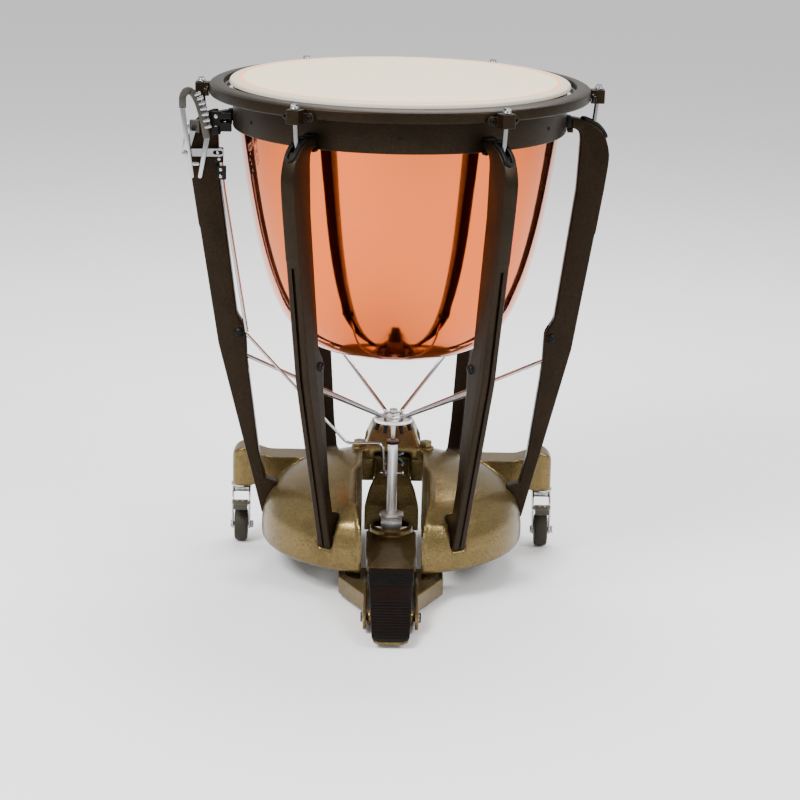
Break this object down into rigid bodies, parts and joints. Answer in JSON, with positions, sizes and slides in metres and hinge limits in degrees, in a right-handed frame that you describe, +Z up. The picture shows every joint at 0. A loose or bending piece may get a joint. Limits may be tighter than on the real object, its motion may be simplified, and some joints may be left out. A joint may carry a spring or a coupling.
{
  "type": "timpani drum",
  "caption": "Pedal timpani: copper bowl with a tensioned head, hung in struts on a cast base with a tuning pedal, pull-rod spider, tuning gauge and rear casters.",
  "frame": {"origin": "on the floor, under the middle of the drum's footprint box; the bowl's axis stands 7 mm to +X and 60 mm to +Y of it", "axes": "+Z up; -Y is the player's side, where the pedal is; +X is to the player's right as they look along +Y"},
  "size_m": [0.7515, 0.7862, 0.888],
  "materials": {
    "head": "satin film, ivory white",
    "copper": "polished copper",
    "dark_paint": "dark bronze hammertone",
    "flesh": "satin",
    "black_metal": "satin black",
    "chrome": "polished",
    "aluminium": "satin",
    "gold_paint": "gold bronze hammertone",
    "rubber": "moulded ribs",
    "brake": "moulded, satin",
    "tyre": "smooth tread",
    "steel": "satin"
  },
  "bodies": {
    "root": {"kettle": "copper", "suspension_ring": "dark_paint", "drumhead": "head", "strut_rear_left": "dark_paint", "strut_left": "dark_paint", "strut_front_left": "dark_paint", "strut_front_right": "dark_paint", "strut_right": "dark_paint", "strut_rear_right": "dark_paint", "base_casting": "gold_paint", "pedal_frame": "gold_paint", "pedal_axle": "black_metal", "front_foot_left": "rubber", "front_foot_right": "rubber", "gauge_bracket": "black_metal", "gauge_scale": "chrome", "balance_spring": "steel"},
    "pedal": {"pedal_casting": "gold_paint", "pedal_pad": "rubber"},
    "pull": {"spider_plate": "chrome", "pull_rod": "aluminium", "pull_nut": "aluminium", "gauge_link_lower": "chrome", "gauge_link_upper": "chrome"},
    "hoop": {"counterhoop": "dark_paint", "flesh_hoop": "flesh", "hoop_lug_rear_left": "dark_paint", "hoop_lug_left": "dark_paint", "hoop_lug_front_left": "dark_paint", "hoop_lug_front_right": "dark_paint", "hoop_lug_right": "dark_paint", "hoop_lug_rear_right": "dark_paint"},
    "pointer": {"gauge_pointer": "steel"},
    "knob": {"gauge_knob": "steel"},
    "crank_rear_left": {"bell_crank_rear_left": "black_metal"},
    "link_rear_left": {"spider_rod_rear_left": "chrome"},
    "rod_rear_left": {"tension_rod_rear_left": "chrome"},
    "crank_left": {"bell_crank_left": "black_metal"},
    "link_left": {"spider_rod_left": "chrome"},
    "rod_left": {"tension_rod_left": "chrome"},
    "crank_front_left": {"bell_crank_front_left": "black_metal"},
    "link_front_left": {"spider_rod_front_left": "chrome"},
    "rod_front_left": {"tension_rod_front_left": "chrome"},
    "crank_front_right": {"bell_crank_front_right": "black_metal"},
    "link_front_right": {"spider_rod_front_right": "chrome"},
    "rod_front_right": {"tension_rod_front_right": "chrome"},
    "crank_right": {"bell_crank_right": "black_metal"},
    "link_right": {"spider_rod_right": "chrome"},
    "rod_right": {"tension_rod_right": "chrome"},
    "crank_rear_right": {"bell_crank_rear_right": "black_metal"},
    "link_rear_right": {"spider_rod_rear_right": "chrome"},
    "rod_rear_right": {"tension_rod_rear_right": "chrome"},
    "fork_left": {"caster_fork_left": "chrome"},
    "wheel_left": {"caster_wheel_left": "tyre"},
    "brake_left": {"caster_brake_left": "brake"},
    "fork_right": {"caster_fork_right": "chrome"},
    "wheel_right": {"caster_wheel_right": "tyre"},
    "brake_right": {"caster_brake_right": "brake"}
  },
  "joints": [
    {"name": "pedal_tilt", "type": "hinge", "parent": "root", "child": "pedal", "pos_m": [0.007, -0.295, 0.022], "axis": [-1, 0, 0], "range_deg": [-3, 2.5], "deforming": ["balance_spring"]},
    {"name": "pull_slide", "type": "slide", "parent": "root", "child": "pull", "axis": [0, 0, -1], "range_m": [-0.01862, 0.01552]},
    {"name": "hoop_slide", "type": "slide", "parent": "root", "child": "hoop", "axis": [0, 0, -1], "range_m": [-0.0048, 0.004]},
    {"name": "gauge_swing", "type": "hinge", "parent": "root", "child": "pointer", "pos_m": [-0.365, 0.026, 0.756], "axis": [0, 1, 0], "range_deg": [-18.43, 15.36]},
    {"name": "crank_swing_rear_left", "type": "hinge", "parent": "root", "child": "crank_rear_left", "pos_m": [-0.132, 0.30075, 0.431], "axis": [-0.866, -0.5, 0], "range_deg": [-12.57, 10.48]},
    {"name": "crank_swing_left", "type": "hinge", "parent": "root", "child": "crank_left", "pos_m": [-0.271, 0.06, 0.431], "axis": [0, -1, 0], "range_deg": [-12.57, 10.48]},
    {"name": "crank_swing_front_left", "type": "hinge", "parent": "root", "child": "crank_front_left", "pos_m": [-0.132, -0.18075, 0.431], "axis": [0.866, -0.5, 0], "range_deg": [-12.57, 10.48]},
    {"name": "crank_swing_front_right", "type": "hinge", "parent": "root", "child": "crank_front_right", "pos_m": [0.146, -0.18075, 0.431], "axis": [0.866, 0.5, 0], "range_deg": [-12.57, 10.48]},
    {"name": "crank_swing_right", "type": "hinge", "parent": "root", "child": "crank_right", "pos_m": [0.285, 0.06, 0.431], "axis": [0, 1, 0], "range_deg": [-12.57, 10.48]},
    {"name": "crank_swing_rear_right", "type": "hinge", "parent": "root", "child": "crank_rear_right", "pos_m": [0.146, 0.30075, 0.431], "axis": [-0.866, 0.5, 0], "range_deg": [-12.57, 10.48]},
    {"name": "link_swing_rear_left", "type": "hinge", "parent": "pull", "child": "link_rear_left", "pos_m": [-0.0065, 0.08338, 0.272], "axis": [0.866, 0.5, 0], "range_deg": [-4.24, 3.53]},
    {"name": "link_swing_left", "type": "hinge", "parent": "pull", "child": "link_left", "pos_m": [-0.02, 0.06, 0.272], "axis": [0, 1, 0], "range_deg": [-4.24, 3.53]},
    {"name": "link_swing_front_left", "type": "hinge", "parent": "pull", "child": "link_front_left", "pos_m": [-0.0065, 0.03662, 0.272], "axis": [-0.866, 0.5, 0], "range_deg": [-4.24, 3.53]},
    {"name": "link_swing_front_right", "type": "hinge", "parent": "pull", "child": "link_front_right", "pos_m": [0.0205, 0.03662, 0.272], "axis": [-0.866, -0.5, 0], "range_deg": [-4.24, 3.53]},
    {"name": "link_swing_right", "type": "hinge", "parent": "pull", "child": "link_right", "pos_m": [0.034, 0.06, 0.272], "axis": [0, -1, 0], "range_deg": [-4.24, 3.53]},
    {"name": "link_swing_rear_right", "type": "hinge", "parent": "pull", "child": "link_rear_right", "pos_m": [0.0205, 0.08338, 0.272], "axis": [0.866, -0.5, 0], "range_deg": [-4.24, 3.53]},
    {"name": "rod_turn_rear_left", "type": "hinge", "parent": "hoop", "child": "rod_rear_left", "pos_m": [-0.1655, 0.35878, 0.864], "axis": [-0.0516, 0.0894, 0.9947], "range_deg": [-180, 180]},
    {"name": "rod_turn_left", "type": "hinge", "parent": "hoop", "child": "rod_left", "pos_m": [-0.338, 0.06, 0.864], "axis": [-0.1033, 0, 0.9947], "range_deg": [-180, 180]},
    {"name": "rod_turn_front_left", "type": "hinge", "parent": "hoop", "child": "rod_front_left", "pos_m": [-0.1655, -0.23878, 0.864], "axis": [-0.0516, -0.0894, 0.9947], "range_deg": [-180, 180]},
    {"name": "rod_turn_front_right", "type": "hinge", "parent": "hoop", "child": "rod_front_right", "pos_m": [0.1795, -0.23878, 0.864], "axis": [0.0516, -0.0894, 0.9947], "range_deg": [-180, 180]},
    {"name": "rod_turn_right", "type": "hinge", "parent": "hoop", "child": "rod_right", "pos_m": [0.352, 0.06, 0.864], "axis": [0.1033, 0, 0.9947], "range_deg": [-180, 180]},
    {"name": "rod_turn_rear_right", "type": "hinge", "parent": "hoop", "child": "rod_rear_right", "pos_m": [0.1795, 0.35878, 0.864], "axis": [0.0516, 0.0894, 0.9947], "range_deg": [-180, 180]},
    {"name": "knob_turn", "type": "hinge", "parent": "pointer", "child": "knob", "pos_m": [-0.349, 0.031, 0.802], "axis": [1, 0, 0], "continuous": true},
    {"name": "caster_swivel_left", "type": "hinge", "parent": "root", "child": "fork_left", "pos_m": [-0.273, 0.195, 0.1], "axis": [0, 0, 1], "continuous": true},
    {"name": "wheel_roll_left", "type": "hinge", "parent": "fork_left", "child": "wheel_left", "pos_m": [-0.273, 0.175, 0.031], "axis": [1, 0, 0], "continuous": true},
    {"name": "brake_press_left", "type": "hinge", "parent": "fork_left", "child": "brake_left", "pos_m": [-0.273, 0.167, 0.074], "axis": [1, 0, 0], "range_deg": [0, 10]},
    {"name": "caster_swivel_right", "type": "hinge", "parent": "root", "child": "fork_right", "pos_m": [0.287, 0.195, 0.1], "axis": [0, 0, 1], "continuous": true},
    {"name": "wheel_roll_right", "type": "hinge", "parent": "fork_right", "child": "wheel_right", "pos_m": [0.287, 0.175, 0.031], "axis": [1, 0, 0], "continuous": true},
    {"name": "brake_press_right", "type": "hinge", "parent": "fork_right", "child": "brake_right", "pos_m": [0.287, 0.167, 0.074], "axis": [1, 0, 0], "range_deg": [0, 10]}
  ],
  "couplings": [
    {"joint": "pull_slide", "follows": "pedal_tilt", "m_per_rad": 0.355},
    {"joint": "hoop_slide", "follows": "pedal_tilt", "m_per_rad": 0.0914},
    {"joint": "gauge_swing", "follows": "pedal_tilt", "ratio": 6.13},
    {"joint": "crank_swing_rear_left", "follows": "pedal_tilt", "ratio": 4.182},
    {"joint": "crank_swing_left", "follows": "pedal_tilt", "ratio": 4.182},
    {"joint": "crank_swing_front_left", "follows": "pedal_tilt", "ratio": 4.182},
    {"joint": "crank_swing_front_right", "follows": "pedal_tilt", "ratio": 4.182},
    {"joint": "crank_swing_right", "follows": "pedal_tilt", "ratio": 4.182},
    {"joint": "crank_swing_rear_right", "follows": "pedal_tilt", "ratio": 4.182},
    {"joint": "link_swing_rear_left", "follows": "pedal_tilt", "ratio": 1.41},
    {"joint": "link_swing_left", "follows": "pedal_tilt", "ratio": 1.41},
    {"joint": "link_swing_front_left", "follows": "pedal_tilt", "ratio": 1.41},
    {"joint": "link_swing_front_right", "follows": "pedal_tilt", "ratio": 1.41},
    {"joint": "link_swing_right", "follows": "pedal_tilt", "ratio": 1.41},
    {"joint": "link_swing_rear_right", "follows": "pedal_tilt", "ratio": 1.41}
  ]
}
